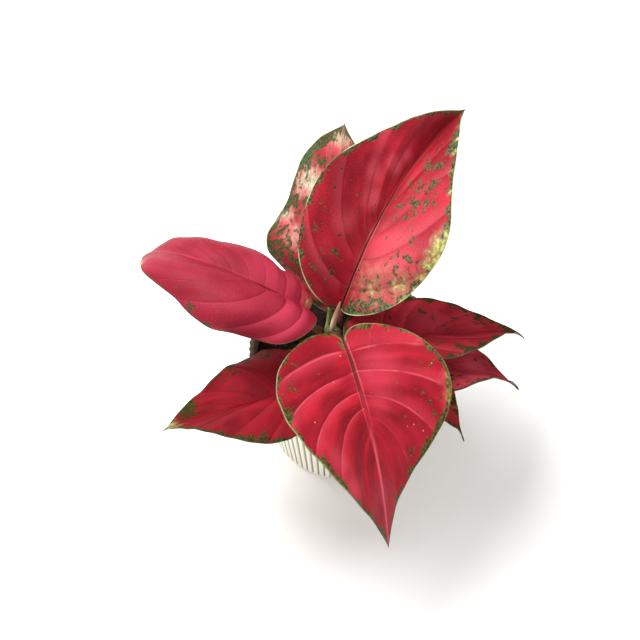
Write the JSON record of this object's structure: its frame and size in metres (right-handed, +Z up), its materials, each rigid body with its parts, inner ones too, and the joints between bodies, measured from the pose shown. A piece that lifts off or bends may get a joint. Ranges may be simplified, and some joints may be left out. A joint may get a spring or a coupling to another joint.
{
  "type": "potted chinese evergreen",
  "caption": "Red-leaved foliage plant with broad pointed leaves on a short stem, growing in soil in a tapered white ribbed pot.",
  "frame": {"origin": "centre of the pot's flat base", "axes": "+Z up through the pot, -Y towards the side that the picture shows, +X to its right"},
  "size_m": [0.2838, 0.2837, 0.2396],
  "materials": {
    "pot": "smooth white moulded plastic, slightly satin",
    "soil": "loose dark peat with bark crumbs",
    "stem": "green-brown cane ringed with leaf scars",
    "leaf": "waxy crimson leaf with dark green specks and margin",
    "new_leaf": "rolled young leaf, pale pink and cream"
  },
  "bodies": {
    "root": {"pot": "pot", "soil": "soil", "stem": "stem", "leaf_front": "leaf", "leaf_back_right": "leaf", "leaf_left": "leaf", "leaf_front_left": "leaf", "leaf_right": "leaf", "leaf_right_lower": "leaf", "leaf_right_lowest": "leaf", "leaf_back_left": "leaf", "new_leaf": "new_leaf"}
  },
  "joints": []
}
